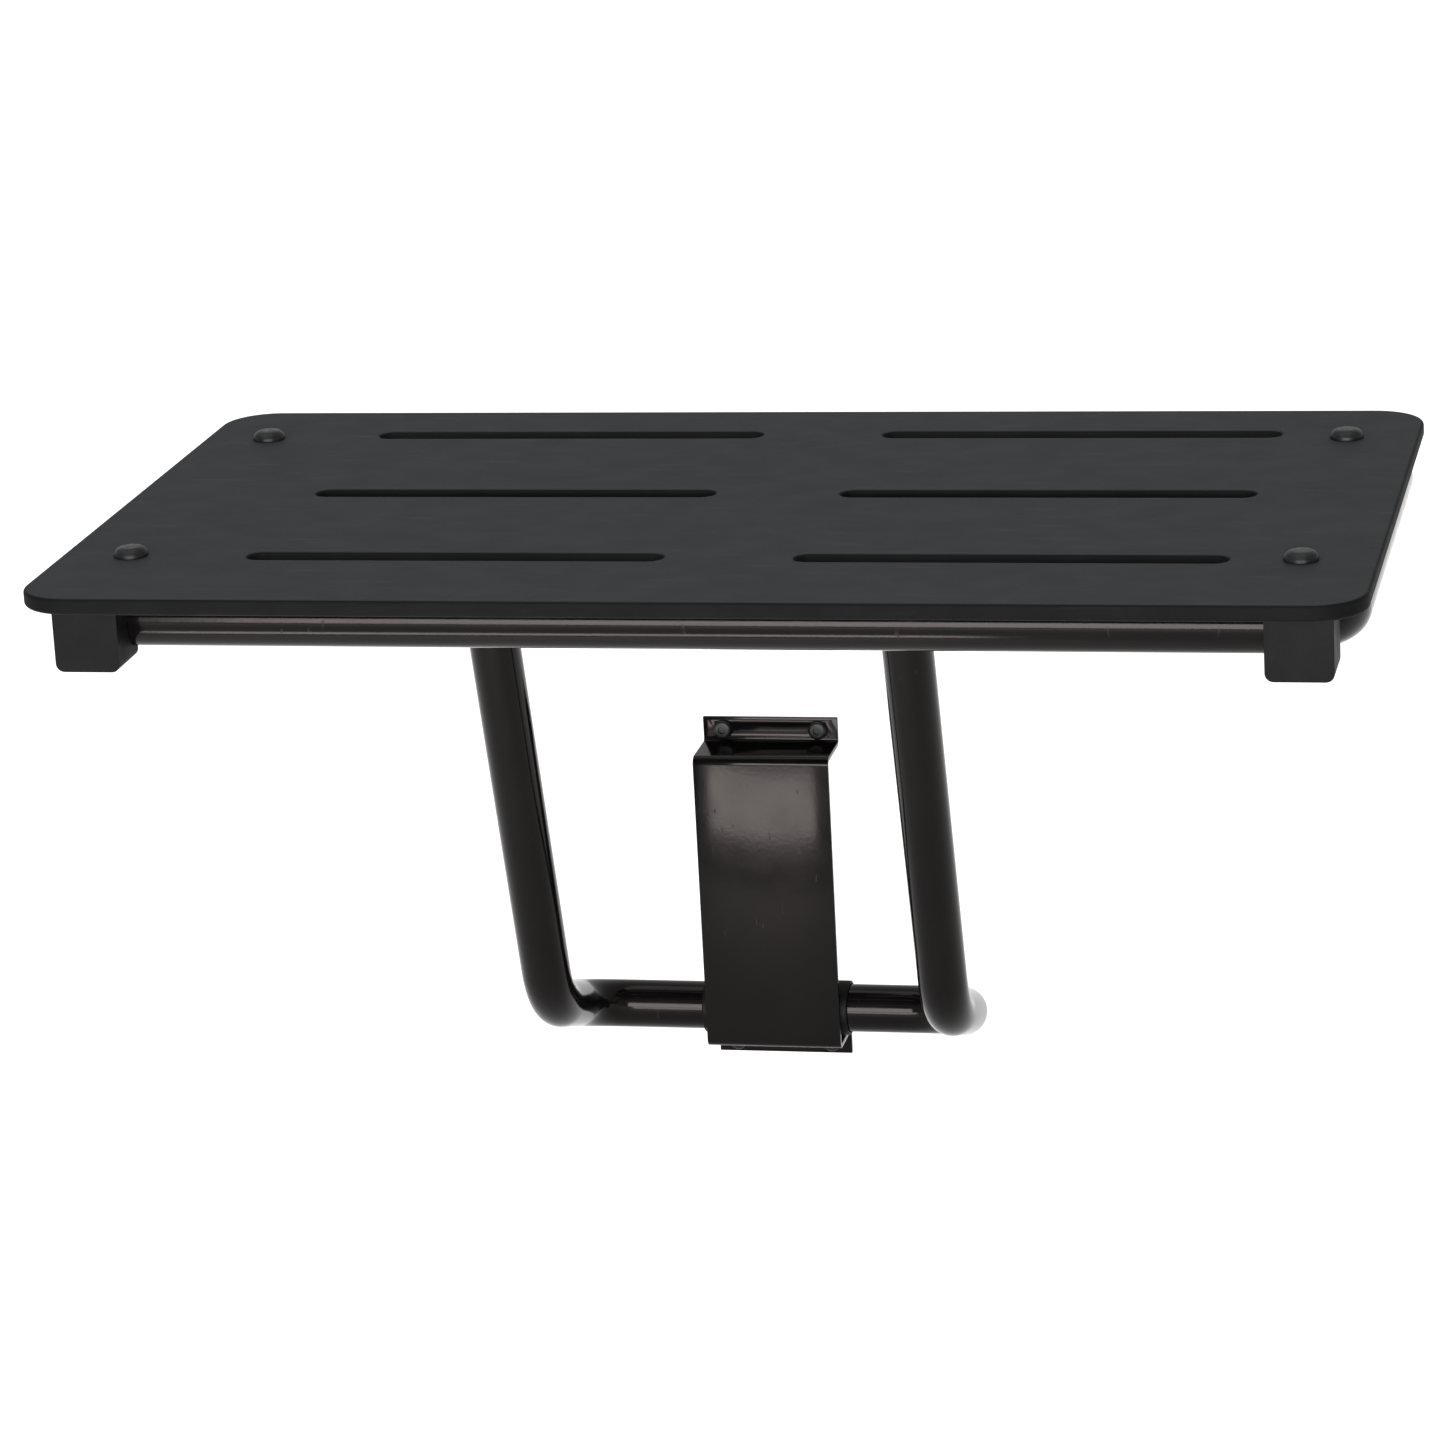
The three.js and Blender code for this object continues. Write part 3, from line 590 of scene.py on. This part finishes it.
GUIDE_SCREWS = [f"guide_screw_{end}_{hand}" for end in ("top", "bottom") for hand in HANDS]
HINGE_SCREWS = [f"hinge_screw_{hand}_{number}" for hand in HANDS for number in (1, 2, 3, 4)]


def guide_strip(width, wall, skin, upper_fold, lower_fold):
    """One strip of sheet drawn edge by edge: flange, web, face, web, flange."""
    middle = (guide_low.x + guide_high.x) / 2
    bpy.ops.mesh.primitive_plane_add(
        size=1, location=(middle, wall, (guide_high.z + upper_fold) / 2), rotation=(math.pi / 2, 0, 0))
    strip = fresh("guide_strip")
    strip.scale = (width, guide_high.z - upper_fold, 1)
    settle(strip)
    edit_edges(strip, lambda a, b: max(a.z, b.z) < upper_fold + TINY)
    moves = (
        (0, skin - wall, 0),
        (0, 0, lower_fold - upper_fold),
        (0, wall - skin, 0),
        (0, 0, guide_low.z - lower_fold),
    )
    for move in moves:
        bpy.ops.mesh.extrude_region_move(TRANSFORM_OT_translate={"value": move})
    bpy.ops.object.mode_set(mode="OBJECT")
    return strip


def guide():
    width = guide_high.x - guide_low.x
    skin = guide_low.y + GUIDE_SHEET / 2
    wall = guide_high.y - GUIDE_SHEET / 2
    upper_fold = guide_high.z - FLANGE - GUIDE_SHEET / 2
    lower_fold = guide_low.z + FLANGE + GUIDE_SHEET / 2
    strip = guide_strip(width, wall, skin, upper_fold, lower_fold)

    def is_fold(start, end):
        across = abs(start.x - end.x) > width / 2
        return across and any(
            abs(start.z - fold) < TINY and abs(end.z - fold) < TINY for fold in (upper_fold, lower_fold))

    bevel_edges(strip, is_fold, GUIDE_FOLD, 6)
    face_outwards(strip)
    apply_modifier(strip, "SOLIDIFY", thickness=GUIDE_SHEET, offset=0, use_even_offset=True)
    for node in GUIDE_SCREWS:
        spot = wall_spot(node)
        past = Vector((0, PAST, 0))
        cut_with(strip, round_bar("drill", GUIDE_HOLE, spot - past, spot + past, 24))
    break_edges(strip, 0.35 * MM, 2)
    smooth(strip)
    finished(strip, "wall_fittings", "coated_tube", ENAMEL, "guide_bracket")


def wall_spot(node):
    """Where a screw's middle line meets the wall."""
    middle = middle_of(node)
    return Vector((middle.x, 0, middle.z))


def wall_screw_model(node):
    """Pan-head screw with a six-sided driving recess."""
    low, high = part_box(node)
    radius = (high.x - low.x) / 2
    seat = low.y + SCREW_HEAD
    screw = round_bar("screw_model", radius, (0, seat, 0), (0, low.y, 0))
    bevel_edges(screw, lambda a, b: max(a.y, b.y) < low.y + TINY, SCREW_CROWN, 5)
    cut_with(screw, round_bar(
        "recess", RECESS_RADIUS, (0, low.y - MM, 0), (0, low.y + RECESS_DEPTH, 0), 6))
    pull_shank(screw, lambda face: face.normal.y > 0.9 and face.center.y > seat - TINY,
               radius - SCREW_SHANK, (0, -seat, 0))
    smooth(screw, 40)
    return screw


def wall_screws(nodes):
    model = wall_screw_model(nodes[0])
    for node in nodes:
        screw = twin(model, node.replace("screw", "fixing"), wall_spot(node))
        finished(screw, "wall_fittings", "fasteners", FIXING, node)
    bpy.data.objects.remove(model, do_unlink=True)


def slide_sleeve():
    low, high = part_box("guide_sleeve")
    middle = (low + high) / 2
    left, right = (Vector((x, middle.y, middle.z)) for x in (low.x, high.x))
    past = Vector((PAST, 0, 0))
    sleeve = round_bar("slide_sleeve", (high.z - low.z) / 2, left, right, 48)
    cut_with(sleeve, round_bar("bore", tube_radius + RUNNING_FIT, left - past, right + past, 48))
    break_edges(sleeve, 0.5 * MM, 3)
    smooth(sleeve)
    finished(sleeve, "guide_shoe", "nylon", NYLON, "guide_sleeve")


# ---------------------------------------------------------------- bumper blocks

def bumper_block(hand):
    """A moulded block, grooved at the back to grip the corner of the front tube."""
    low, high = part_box(f"bumper_block_{hand}")
    bumper = block(f"bumper_{hand}", low, high)

    def is_lower_side(start, end):
        return abs(start.y - end.y) > MM and max(start.z, end.z) < low.z + TINY

    bevel_edges(bumper, is_lower_side, BUMPER_EDGE, 6)
    cut_with(bumper, bent_bar("groove", front_corners(), [FRAME_BEND, FRAME_BEND], tube_radius + RUNNING_FIT))
    screw = middle_of(f"bumper_screw_{hand}")
    foot = Vector((screw.x, screw.y, low.z))
    up = Vector((0, 0, 1))
    cut_with(bumper, round_bar("sink", BUMPER_SINK, foot - up * MM, foot + up * SINK_DEPTH))
    cut_with(bumper, round_bar("bore", BUMPER_BORE, foot, foot + up * BORE_DEPTH, 24))
    break_edges(bumper, 0.6 * MM, 3)
    smooth(bumper)
    flatten_shading(bumper)
    finished(bumper, "seat", "nylon", NYLON, f"bumper_block_{hand}")


# ---------------------------------------------------------------- small hidden hardware

HARDWARE = (
    ("frame_tab", "seat", "coated_tube", ENAMEL),
    ("frame_cross", "seat", "coated_tube", ENAMEL),
    ("hinge_barrel", "seat", "coated_tube", ENAMEL),
    ("hook_lug", "seat", "coated_tube", ENAMEL),
    ("wall_hinge", "wall_fittings", "coated_tube", ENAMEL),
    ("frame_plug", "seat", "nylon", NYLON),
    ("hinge_bush", "seat", "nylon", NYLON),
    ("seat_nut", "seat", "fasteners", FIXING),
    ("bumper_screw", "seat", "fasteners", FIXING),
    ("hinge_pin", "wall_fittings", "fasteners", FIXING),
    ("hinge_clip", "wall_fittings", "fasteners", FIXING),
    ("leg_eye", "leg", "fasteners", FIXING),
    ("leg_pin", "leg", "fasteners", FIXING),
)


def softened(node, name):
    """A welded copy of a CAD node with its sharp edges broken."""
    piece = copy_of(node, name)
    face_outwards(piece)
    pick(piece)
    bpy.ops.object.mode_set(mode="EDIT")
    bpy.ops.mesh.select_all(action="SELECT")
    bpy.ops.mesh.dissolve_limited(angle_limit=math.radians(2))
    bpy.ops.object.mode_set(mode="OBJECT")
    break_edges(piece, 0.4 * MM, 2)
    smooth(piece, 32)
    flatten_shading(piece)
    return piece


def hardware():
    for start, body, slot, material in HARDWARE:
        for name in [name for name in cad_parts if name.startswith(start)]:
            piece = softened(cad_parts[name], f"{name}_softened")
            finished(piece, body, slot, material, name)


# ---------------------------------------------------------------- studio

FLOOR_LEVEL = -460 * MM
FLOOR_SIZE = 14
SKY_STRENGTH = 0.8
CEILING_ENERGY = 1.7
CEILING_SPREAD = math.radians(70)
CEILING_TILT = (math.radians(12), math.radians(-6), 0)

SENSOR = 36
LENS = 129.7246
CAMERA_SPOT = (505.8 * MM, -2569 * MM, 610.5 * MM)
CAMERA_YAW = -0.2179
CAMERA_DOWN = 0.2895
CAMERA_ROLL = -0.0528


def floor():
    bpy.ops.mesh.primitive_plane_add(size=FLOOR_SIZE, location=(0, 0, FLOOR_LEVEL))
    ground = fresh("floor")
    settle(ground)
    ground.data.materials.append(pale_floor())


def sky():
    world = bpy.data.worlds.new("studio")
    world.use_nodes = True
    background = world.node_tree.nodes["Background"]
    background.inputs["Color"].default_value = (1, 1, 1, 1)
    background.inputs["Strength"].default_value = SKY_STRENGTH
    bpy.context.scene.world = world
    bpy.context.scene.view_settings.view_transform = "Standard"


def ceiling():
    data = bpy.data.lights.new("ceiling", "SUN")
    data.energy = CEILING_ENERGY
    data.angle = CEILING_SPREAD
    light = bpy.data.objects.new("ceiling", data)
    light.rotation_euler = CEILING_TILT
    bpy.context.scene.collection.objects.link(light)


def lamp(name, spot, target, size, power):
    data = bpy.data.lights.new(name, "AREA")
    data.shape = "RECTANGLE"
    data.size, data.size_y = size
    data.energy = power
    light = bpy.data.objects.new(name, data)
    light.location = spot
    light.rotation_euler = (Vector(target) - Vector(spot)).to_track_quat("-Z", "Y").to_euler()
    bpy.context.scene.collection.objects.link(light)


def studio():
    """A white sky and ceiling, a broad soft box in front, and a strip that lights the guide."""
    sky()
    ceiling()
    lamp("front_box", (0.3, -4.6, 0.62), (0, -0.3, 0.1), (4.4, 1.5), 400)
    lamp("low_strip", (-0.18, -0.69, -0.355), (-0.1, 0, -0.215), (0.5, 0.09), 2.4)


def camera():
    data = bpy.data.cameras.new("camera")
    data.sensor_width = SENSOR
    data.lens = LENS
    data.clip_end = 100
    view = bpy.data.objects.new("camera", data)
    view.location = CAMERA_SPOT
    upright = Quaternion((1, 0, 0), math.pi / 2 - CAMERA_DOWN)
    turned = Quaternion((0, 0, 1), -CAMERA_YAW) @ upright @ Quaternion((0, 0, 1), CAMERA_ROLL)
    view.rotation_mode = "QUATERNION"
    view.rotation_quaternion = turned
    bpy.context.scene.collection.objects.link(view)
    bpy.context.scene.camera = view


seat_board()
seat_bolts()
frame_tubes()
leg_tube()
guide()
wall_screws(GUIDE_SCREWS)
wall_screws(HINGE_SCREWS)
slide_sleeve()
for hand in HANDS:
    bumper_block(hand)
hardware()
floor()
studio()
camera()
